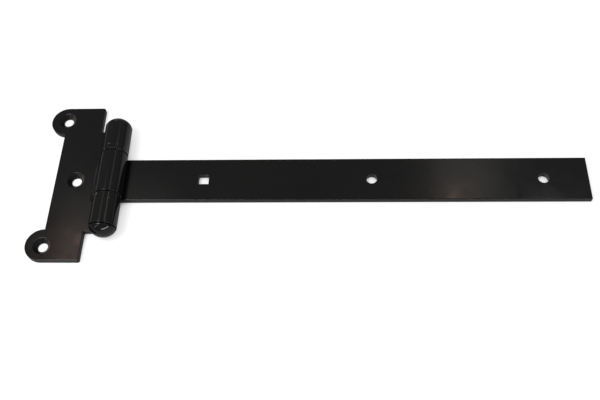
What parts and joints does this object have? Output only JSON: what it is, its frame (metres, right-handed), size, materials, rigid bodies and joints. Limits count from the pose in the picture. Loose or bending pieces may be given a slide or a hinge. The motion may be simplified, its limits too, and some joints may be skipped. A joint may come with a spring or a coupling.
{
  "type": "cross hinge",
  "caption": "Heavy cross hinge with a long bolt-on strap, a countersunk cross plate and a rolled barrel with domed end caps.",
  "frame": {"origin": "on the mounting plane (the backs of both leaves), under the middle of the barrel", "axes": "+X from the barrel along the strap, +Y along the barrel, +Z out of the mounting plane, towards the front"},
  "size_m": [0.4645, 0.1516, 0.023],
  "materials": {
    "black_coat": "satin black coating on steel",
    "gloss_black": "glossy black coating on steel",
    "pin_steel": "plain turned steel"
  },
  "bodies": {
    "post_side": {"frame_plate": "black_coat", "hinge_pin": "pin_steel", "upper_cap": "gloss_black", "lower_cap": "gloss_black"},
    "gate_side": {"strap": "black_coat"}
  },
  "joints": [
    {"name": "barrel_turn", "type": "hinge", "parent": "post_side", "child": "gate_side", "pos_m": [0, 0, 0.0115], "axis": [0, -1, 0], "range_deg": [-110, 190]}
  ]
}
